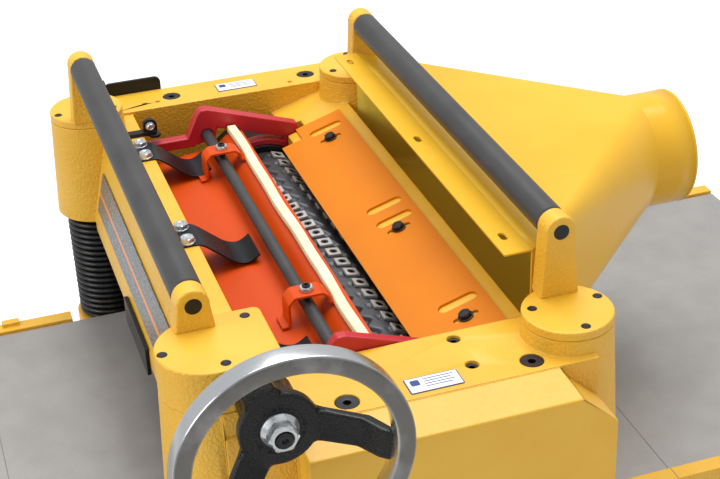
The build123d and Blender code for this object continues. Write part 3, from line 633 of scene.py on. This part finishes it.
def make_cutterhead():
    """The head is a cylinder whose radius drops in a scalloped gullet in front of each helical row of inserts
    and in a small seat behind each insert. The inserts are square plates with ground edges and screws."""
    along = np.linspace(-250, 246, 290)[:, None]
    around = np.linspace(0, 360, 289)[None, :]
    radius = np.full(np.broadcast(along, around).shape, float(CUTTER_R))
    wave = np.cos(TURN * (along + 238) / INSERT_PITCH)
    for row in range(INSERT_ROWS):
        gap = (row_angle(row, along) - around + 180) % 360 - 180
        arc = np.radians(gap) * CUTTER_R
        far_side = 14.5 + 4.5 * wave
        gullet = ease((arc - 6.5) / 1.5) * ease((far_side - arc) / 6.0)
        seat = ease((arc + 12.5) / 1.5) * ease((-6.5 - arc) / 1.0) * ease((wave - 0.1) / 0.4)
        radius -= 4.0 * gullet + 1.4 * seat
    inside = ease((along + 250) / 5) * ease((246 - along) / 5)
    radius = CUTTER_R - (CUTTER_R - radius) * inside
    turned = np.radians(around)
    skin = np.stack([along + 0 * radius, -radius * np.sin(turned), radius * np.cos(turned)], -1)
    left_pole, right_pole = skin[:1] * [1, 0, 0], skin[-1:] * [1, 0, 0]
    body = Surface()
    centre = np.array([0, CUTTER_Y, CUTTER_Z], float)
    body.grid(np.concatenate([left_pole, skin, right_pole]) + centre)
    shaft = [(-427, 0), (-427, 19), (-426, 20), (-249, 20), (-249, 0)]
    stub = [(245, 0), (245, 20), (345, 20), (346, 19), (346, 0)]
    body.lathe(shaft, centre, steps=40)
    body.lathe(stub, centre, steps=40)
    pinion = [(346, 0, 0), (346, 9.5, 10), (357, 9.5, 10), (357, 0, 0)]
    rings(body, pinion, centre, "x", steps=60)
    finish_piece("cutterhead_body", body, cutter_skin, "cutterhead", "dark_steel", "cutterhead", crease=40)

    turn = np.linspace(0, TURN, 17)[:-1]
    square = np.clip(np.column_stack([np.cos(turn), np.sin(turn)]) * 10.0, -7.25, 7.25)
    small = square * 0.95
    circle = np.column_stack([np.cos(turn), np.sin(turn)])
    stack = [
        (square, 0.3), (square, 2.5), (small, 2.9), (circle * 4.2, 2.9), (circle * 3.0, 0.3), (square, 0.3),
    ]
    head = [
        (circle * 0.0, 0.5), (circle * 3.2, 0.5), (circle * 4.0, 2.5), (circle * 1.7, 2.5),
        (circle * 1.6, 1.0), (circle * 0.0, 1.0),
    ]
    plate, screw = [np.stack([np.column_stack([flat, np.full(16, CUTTER_R + level)]) for flat, level in part])
                    for part in (stack, head)]
    plate, screw = [np.concatenate([part, part[:, :1]], axis=1) for part in (plate, screw)]
    inserts, screws = Surface(), Surface()
    for row in range(INSERT_ROWS):
        for number in range(INSERT_COUNT):
            x = -238 + number * INSERT_PITCH
            angle = math.radians(row_angle(row, x))
            cosine, sine = math.cos(angle), math.sin(angle)
            tilt = np.array([[1, 0, 0], [0, cosine, -sine], [0, sine, cosine]])
            inserts.grid(plate @ tilt.T + centre + [x, 0, 0])
            screws.grid(screw @ tilt.T + centre + [x, 0, 0])
    for name, surface, material, slot in (
        ("insert_screws", screws, black_oxide, "dark_steel"),
        ("carbide_inserts", inserts, carbide, "carbide"),
    ):
        finish_piece(name, surface, material, "cutterhead", slot, "cutter_inserts", crease=25)


# ---------------------------------------------------------------- rollers, bellows and the hood

def make_return_rollers():
    """Seamless tubes with chamfered ends on axles that show at the ears, and the kickback fingers' rod."""
    rods = Surface()
    for y, z, end, radius in (
        (-RETURN_Y, RETURN_Z, 276.5, 7.5),
        (RETURN_Y, RETURN_Z, 276.5, 7.5),
        (-125, 1000, 258, 6),
    ):
        left = [(-end, 0), (-end, radius - 0.7), (0.7 - end, radius)]
        right = [(-along, reach) for along, reach in reversed(left)]
        rods.lathe(left + right, (0, y, z))
    finish_piece("axles", rods, black_oxide, "frame", "bright_steel", "steel_rods")
    for name, y in (("return_roller_front", -RETURN_Y), ("return_roller_rear", RETURN_Y)):
        tube = Surface()
        profile = [(-255, 7.6), (-255, 12.6), (-253.4, 14), (253.4, 14), (255, 12.6), (255, 7.6), (-255, 7.6)]
        tube.lathe(profile, (0, y, RETURN_Z))
        finish_piece(name.replace("_roller", "_tube"), tube, roller_skin, name, "dark_steel", name)


def make_bellows():
    """Pleated sleeves: the radius follows the 0.7th power of half a sine, so that the valleys are sharper
    than the crests, and each sleeve spans the gap between the head or base and the table."""
    for node, low, high, folds, still, moving in (
        ("bellows_upper", 850.3, 989.7, 19, 0.99, 0.85),
        ("bellows_lower", 580.3, 774.7, 26, 0.58, 0.775),
    ):
        sleeve = Surface()
        level = np.linspace(low, high, folds * 8 + 1)
        phase = np.abs(np.sin(math.pi * folds * (level - low) / (high - low)))
        outer = np.column_stack([level, 33.2 + 5.2 * phase ** 0.7])
        inner = outer - [0, 1.6]
        profile = np.vstack([outer, inner[::-1], outer[:1]])
        for x, y in CORNERS:
            sleeve.lathe(profile, (x, y, 0), "z", steps=48)
        piece = finish_piece(node + "_sleeves", sleeve, rubber, None, "black_rubber", node, crease=80)
        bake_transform(piece)


def make_hood():
    """A square-to-round sheet hood: each side of the mouth is a flat triangle whose tip is a quarter point of
    the port, and each corner of the mouth fans out as a cone to a quarter of the port's circle."""
    corners = rectangle(HOOD_LEFT, HOOD_RIGHT, HOOD_TOP, HOOD_BOTTOM)
    mouth, port = [], []
    for index, (x, z) in enumerate(corners):
        next_x, next_z = corners[(index + 1) % 4]
        side = np.linspace(0, 1, 9)[:, None]
        mouth.append((1 - side) * [x, z] + side * [next_x, next_z])
        flat_at = math.pi / 2 * (1 - index)
        port.append(np.repeat([[math.cos(flat_at), math.sin(flat_at)]], 9, 0))
        fan = flat_at - np.linspace(0, math.pi / 2, 17)[1:]
        mouth.append(np.repeat([[next_x, next_z]], 16, 0))
        port.append(np.column_stack([np.cos(fan), np.sin(fan)]))
    mouth, circle = np.concatenate(mouth), np.concatenate(port) * PORT_R
    port = circle + [0, PORT_Z]
    share = np.linspace(0, 1, 25)[:, None, None]
    flat = (1 - share) * mouth + share * port
    depth = np.broadcast_to(150 + 228 * share, flat.shape[:2] + (1,))
    taper = np.concatenate([flat[..., :1], depth, flat[..., 1:]], -1)
    tube = [np.column_stack([port[:, 0], np.full(len(port), depth), port[:, 1]]) for depth in (400, 423.9)]
    hood = Surface()
    hood.grid(np.concatenate([taper, tube]))
    finish = {"crease": 12, "thickness": 1.6}
    shell = finish_piece("hood_shell", hood, yellow_sheet, "frame", "yellow_paint", "dust_hood", **finish)
    # Painted light: the inside wall takes the paler, greener copy of the enamel.
    shell.data.materials.append(hood_inside_painted_light)
    shell.modifiers["wall"].material_offset = 1
    beading = Surface()
    loop = np.linspace(0, TURN, 13)
    profile = np.column_stack([422.4 + 1.5 * np.cos(loop), 60.2 + 1.5 * np.sin(loop)])
    beading.lathe(profile, (0, 0, PORT_Z), "y", steps=96)
    finish_piece("port_bead", beading, yellow_sheet, "frame", "yellow_paint", "dust_hood")


def make_hood_flange():
    """The hood's lower lip, and its top flange: strips between panels that each hold one round-ended slot."""
    lip = Surface()
    lip.slab([(-248, 141), (244, 141), (244, 151), (-248, 151)], HOOD_BOTTOM, HOOD_BOTTOM + 2)
    finish_piece("hood_lower_lip", lip, yellow_sheet, "frame", "yellow_paint", "dust_hood")
    flange = Surface()
    slots = [-226, -6, 214]
    under = HOOD_TOP - 1.8
    edges = [HOOD_LEFT] + [slot + side for slot in slots for side in (-12, 12)] + [HOOD_RIGHT]
    for start, end in zip(edges[::2], edges[1::2]):
        flange.slab([(start, 123), (end, 123), (end, 151), (start, 151)], under, HOOD_TOP)
    turn = np.linspace(0, TURN, 49)
    cosine, sine = np.cos(turn), np.sin(turn)
    straight = 3.5 * np.sign(cosine) * (np.abs(cosine) > 1e-6)
    for slot in slots:
        hole = np.column_stack([slot + straight + 3.4 * cosine, 135 + 3.4 * sine])
        edge = np.column_stack([slot + np.clip(20 * cosine, -12, 12), 137 + np.clip(24 * sine, -14, 14)])
        loops = [(edge, HOOD_TOP), (hole, HOOD_TOP), (hole, under), (edge, under), (edge, HOOD_TOP)]
        flange.grid(np.stack([np.column_stack([loop, np.full(49, level)]) for loop, level in loops]))
    finish_piece("hood_flange", flange, yellow_sheet, "frame", "yellow_paint", "dust_hood")


# ---------------------------------------------------------------- chipbreaker

def make_chipbreaker():
    """The bent plate, its saddles over the round bar, the felt strip and the three leaf springs."""
    plate = Surface()
    line = [(-125, 1030), (-98, 1050), (-60, 1056.6), (-27, 1058.6), (-12, 1073.6), (7, 1075.4)]
    plate.slab(ribbon(smooth_line(line, 1.5, 14), 2.4), -248, 244, "x")
    orange = (red_orange_sheet, "chipbreaker", "orange_paint")
    finish_piece("chipbreaker_sheet", plate, *orange, "chipbreaker_plate", bevel=0.5)

    saddles, screws, nuts = Surface(), Surface(), Surface()
    line = [
        (-61, 1060), (-54, 1060.4), (-53, 1063.5), (-53, 1083), (-47, 1089.6), (-20, 1089.6), (-14, 1084.6),
        (-13.6, 1078), (-8, 1077),
    ]
    nut = [(1091, 4.1, 0), (1091, 6.2, 6), (1094.2, 6.2, 6), (1095, 5.8, 0), (1095, 4.1, 0), (1091, 4.1, 0)]
    shank = [(1082.5, 0, 0), (1082.5, 3.8, 0), (1094, 3.8, 0), (1094, 0, 0)]
    for x in SADDLE_X:
        saddles.slab(ribbon(smooth_line(line, 1.0, 5), 2.6), x - 11, x + 11, "x")
        rings(nuts, nut, (x, BAR_Y, 0), turn=0.3)
        socket_screw(screws, (x, BAR_Y, 1097), 4.0, depth=2.6, socket=0.5)
        rings(screws, shank, (x, BAR_Y, 0))
    finish_piece("bar_saddles", saddles, *orange, "chipbreaker_brackets", bevel=0.6)
    finish_piece("saddle_nuts", nuts, zinc, "chipbreaker", "bright_steel", "chipbreaker_brackets")
    finish_piece("saddle_screws", screws, black_oxide, "chipbreaker", "dark_steel", "chipbreaker_brackets")

    strip = Surface()
    along = np.linspace(-248, 244, 100)
    section = rounded([(-9.5, 1075.8), (0.6, 1076.7), (0.6, 1084.6), (-9.5, 1084.6)], 1.4, 3)
    section = np.vstack([section, section[:1]])
    drift = 0.5 * np.sin(along / 38) + 0.35 * np.sin(along / 17 + 1)
    rows = np.stack([np.column_stack([np.full(len(section), x), section[:, 0] + d, section[:, 1] + 0.4 * d])
                     for x, d in zip(along, drift)])
    middle = rows[[0, -1]].mean(axis=1, keepdims=True).repeat(len(section), 1)
    strip.grid(np.concatenate([middle[:1], rows, middle[1:]]))
    finish_piece("felt_strip", strip, seal_foam, "chipbreaker", "pale_foam", "seal_strip", crease=50)

    line = [(-130, 1087), (-103, 1087), (-72, 1063), (-62, 1060), (-56, 1061), (-46, 1068)]
    line = smooth_line(line, 1.5, 14)
    outline = ribbon(line, 1.9)
    leaves = Surface()
    for x in LEAF_X:
        reach = ease((outline[:, 0] + 112) / 60)
        left, right = x - 23 + 9 * reach, x + 23 + 9 * reach
        count = len(outline)
        faces = [tuple(range(count))[::-1], tuple(range(count, 2 * count))]
        ends = [np.column_stack([edge, outline]) for edge in (left, right)]
        leaves.add(np.concatenate(ends), faces)
        leaves.grid(np.stack([np.vstack([end, end[:1]]) for end in ends]))
    name = "leaf_spring_set"
    piece = finish_piece(name, leaves, spring_steel, None, "black_paint", "leaf_springs", bevel=0.4)
    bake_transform(piece)


# ---------------------------------------------------------------- fasteners and small fittings

def make_fasteners():
    """Zinc bolts on the leaf springs, flange bolts on the rear plate, socket screws in caps and walls."""
    bright, dark = Surface(), Surface()
    for x in LEAF_X:
        for offset in (-15, 15):
            hex_bolt(bright, (x + offset, -115, 1088), height=4.8, washer=7.8)
    finish_piece("leaf_spring_bolts", bright, zinc, "frame", "bright_steel", "head_fasteners")
    for x, y in CORNERS[1:]:
        for screw_x, screw_y in CAP_SCREWS:
            place = (math.copysign(screw_x, x), math.copysign(screw_y, y), CAP_TOP + 0.45)
            socket_screw(dark, place, 4.6, depth=0.3)
    for x, y in DRIVE_CAP_SCREWS:
        socket_screw(dark, (x, y, DRIVE_CAP_TOP + 0.45), 4.6, depth=0.3)
    for x, y in ((272, 64), (315, 64)):
        socket_screw(dark, (x, y, WALL_TOP - 3), 5.9, depth=4)
    for x in (-346, 328):
        for y in (-53, 114):
            socket_screw(dark, (x, y, WALL_TOP - 0.8), 10.4, depth=5, socket=0.33)
    finish_piece("socket_screws", dark, black_oxide, "frame", "dark_steel", "head_fasteners")
    tilted = Surface()
    tilt = math.radians(16.9)
    for x in (-196, 34, 216):
        bolt = Surface()
        hex_bolt(bolt, (x, 12, 2.5), flat=5.4, height=4.2, washer=7.5)
        points = np.concatenate(bolt.points)
        y = 87.5 + points[:, 1] * math.cos(tilt) - points[:, 2] * math.sin(tilt)
        z = 1066.05 + points[:, 1] * math.sin(tilt) + points[:, 2] * math.cos(tilt)
        tilted.add(np.column_stack([points[:, 0], y, z]), bolt.faces)
    finish_piece("rear_plate_bolts", tilted, black_oxide, "frame", "dark_steel", "head_fasteners")


def make_stand_fittings():
    """A quarter-turn latch and two strap hinges on the stand's door, and the belt guard's cap screws."""
    dark, bright = Surface(), Surface()
    latch = [
        (-203, 0, 0), (-203, 13, 0), (-205, 13, 0), (-206.5, 11.5, 0), (-217, 11, 0), (-218.5, 9.5, 0),
        (-218.5, 0, 0),
    ]
    rings(dark, latch, (-22, 0, 260), "y", steps=40)
    for z in (150, 370):
        plate = rounded(rectangle(285, 325, z - 18, z + 18), 3, 4)
        dark.slab(plate, -204.5, -203, "y")
        rings(bright, [(z - 18, 0, 0), (z - 18, 3.4, 0), (z + 18, 3.4, 0), (z + 18, 0, 0)], (305, -205, 0))
    screw = [(-448, 0, 0), (-448, 6, 0), (-451.5, 6, 0), (-452.5, 5, 0), (-452.5, 0, 0)]
    for y, z in ((-75, 135), (75, 135), (-72, 700), (78, 700), (0, 1030), (68, 1030)):
        rings(bright, screw, (0, y, z), "x")
    finish_piece("door_latch", dark, black_plastic, "frame", "black_paint", "stand_cabinet", bevel=0.4)
    finish_piece("door_pins", bright, zinc, "frame", "bright_steel", "stand_cabinet")


def make_brackets():
    """The stop lugs with their zinc screws, the clip under the front beam and the bracket on the far wall."""
    dark, bright = Surface(), Surface()
    foot = [(1082.4, 0, 0), (1082.4, 6.5, 0), (1085.5, 7, 0), (1086.5, 6, 0), (1086.5, 0, 0)]
    for x in (-259, 250):
        lug = rounded([(-105, 1084), (-89, 1084), (-89, 1105), (-105, 1105)], 7.4, 7)
        dark.slab(lug, x - 3, x + 3, "x")
        dark.slab(rounded([(x - 5, -128), (x + 5, -128), (x + 5, -90), (x - 5, -90)], 2.0, 4), 1086, 1091)
        rings(dark, foot, (x, -92, 0))
        hex_bolt(bright, (x + 3, -97, 1097), flat=3.9, height=3.0, washer=5.2, axis="x")
    dark.slab(rounded([(-62, 968), (50, 968), (50, 1000), (-62, 1000)], 4, 5), -176, -172, "y")
    dark.slab(rounded([(-128, 1040), (-60, 1040), (-60, 1106), (-128, 1106)], 7, 7), -376, -372.2, "x")
    dark.slab(rounded([(-376, 1090.5), (-361, 1090.5), (-361, 1112), (-376, 1112)], 3, 3), -130, -127, "y")
    finish_piece("stop_lugs", dark, black_sheet, "frame", "black_paint", "black_brackets", bevel=0.6)
    finish_piece("stop_screws", bright, zinc, "frame", "bright_steel", "black_brackets")


def make_labels():
    """The charcoal front panel and two foil plates, each with a blue border and a few meaningless bars."""
    panel = Surface()
    panel.slab([(-158.2, 1056), (-169, 1011.3), (-170, 1011.5), (-159.2, 1056.2)], -240, 240, "x")
    finish_piece("front_panel", panel, panel_print, "frame", "label_white", "label_plates")
    plates, borders = Surface(), Surface()
    foil, ink_low, ink_high = WALL_TOP + 0.8, WALL_TOP + 0.5, WALL_TOP + 0.95
    for x0, x1, y0, y1 in ((317, 339, 0, 48), (-356, -334, 2, 50)):
        plates.slab(rectangle(x0 + 0.9, x1 - 0.9, y0 + 0.9, y1 - 0.9), WALL_TOP + 0.1, foil)
        borders.slab(rounded(rectangle(x0, x1, y0, y1), 1.0, 3), WALL_TOP, WALL_TOP + 0.6)
        for number in range(4):
            low = x0 + 4 + number * 3.6
            end = y1 - 5 - 3 * (number % 2)
            borders.slab(rectangle(low, low + 0.8, y0 + 16, end), ink_low, ink_high)
        borders.slab(rounded(rectangle(x0 + 4, x0 + 12, y0 + 4, y0 + 12), 1.5, 4), ink_low, ink_high)
    finish_piece("foil_plates", plates, plate_white, "frame", "label_white", "label_plates")
    finish_piece("foil_borders", borders, plate_blue, "frame", "label_white", "label_plates")


make_caps()
make_handwheel()
make_cutterhead()
make_return_rollers()
make_bellows()
make_hood()
make_hood_flange()
make_chipbreaker()
make_fasteners()
make_stand_fittings()
make_brackets()
make_labels()


# ---------------------------------------------------------------- camera, floor and light

def place_camera():
    """A 76.7 mm lens on a 36 mm sensor, above the operator's right, turned slightly about its own axis."""
    azimuth, elevation, roll = math.radians(72.59), math.radians(29.30), math.radians(-2.37)
    back = Vector((
        math.sin(azimuth) * math.cos(elevation),
        -math.cos(azimuth) * math.cos(elevation),
        math.sin(elevation),
    ))
    right = (-back).cross(Vector((0, 0, 1))).normalized()
    up = back.cross(right)
    turned_right = right * math.cos(roll) + up * math.sin(roll)
    turned_up = up * math.cos(roll) - right * math.sin(roll)
    camera = bpy.data.objects.new("camera", bpy.data.cameras.new("camera"))
    camera.data.lens = 76.7
    camera.data.sensor_width = 36
    camera.data.clip_end = 60
    columns = Matrix((turned_right, turned_up, back)).transposed().to_4x4()
    camera.matrix_world = Matrix.Translation((1.3286, -0.3497, 1.8290)) @ columns
    bpy.context.scene.collection.objects.link(camera)
    bpy.context.scene.camera = camera


def soft_lamp(name, place, aim, size, power):
    """A square soft lamp at a place, turned towards a point."""
    lamp = bpy.data.lights.new(name, "AREA")
    lamp.size = size
    lamp.energy = power
    holder = bpy.data.objects.new(name, lamp)
    holder.location = place
    holder.rotation_euler = (Vector(aim) - Vector(place)).to_track_quat("-Z", "Y").to_euler()
    bpy.context.scene.collection.objects.link(holder)


def make_floor():
    """A pale floor that keeps the object's shadow and looks white to the camera; in reflections it shows only
    its pale paint.
    """
    half = 12.0
    mesh = bpy.data.meshes.new("floor")
    corners = [corner + (0,) for corner in rectangle(-half, half, -half, half)]
    mesh.from_pydata(corners, [], [(0, 1, 2, 3)])
    material = bpy.data.materials.new("pale_floor_paint")
    material.use_nodes = True
    tree = material.node_tree
    tree.nodes.clear()
    paint = add_node(tree, "ShaderNodeBsdfDiffuse", {"Color": linear("#F2F2F2")}).outputs["BSDF"]
    glow = add_node(tree, "ShaderNodeEmission", {"Color": (1, 1, 1, 1), "Strength": 0.45}).outputs["Emission"]
    both = add_node(tree, "ShaderNodeAddShader", {0: paint, 1: glow}).outputs["Shader"]
    rays = add_node(tree, "ShaderNodeLightPath").outputs["Is Camera Ray"]
    mix = add_node(tree, "ShaderNodeMixShader", {0: rays, 1: paint, 2: both}).outputs["Shader"]
    add_node(tree, "ShaderNodeOutputMaterial", {"Surface": mix})
    mesh.materials.append(material)
    floor = bpy.data.objects.new("floor", mesh)
    bpy.context.scene.collection.objects.link(floor)


def light_studio():
    """An even white surround, a large lamp overhead and a weaker one at the operator's side."""
    world = bpy.data.worlds.new("studio")
    world.use_nodes = True
    tree = world.node_tree
    tree.nodes.clear()
    rays = add_node(tree, "ShaderNodeLightPath")
    seen = add_node(tree, "ShaderNodeMath", {0: rays.outputs["Is Camera Ray"], 1: 0.34}, operation="MULTIPLY")
    strength = add_node(tree, "ShaderNodeMath", {0: seen.outputs["Value"], 1: 0.66}, operation="ADD")
    inputs = {"Color": (1, 1, 1, 1), "Strength": strength.outputs["Value"]}
    sky = add_node(tree, "ShaderNodeBackground", inputs)
    add_node(tree, "ShaderNodeOutputWorld", {"Surface": sky.outputs["Background"]})
    bpy.context.scene.world = world
    soft_lamp("overhead_lamp", (-0.6, 0.4, 3.6), (0, 0, 1.0), 2.2, 72)
    soft_lamp("side_lamp", (0.6, -3.0, 2.4), (0, 0, 1.0), 1.8, 40)


place_camera()
make_floor()
light_studio()
bpy.context.scene.view_settings.view_transform = "Standard"
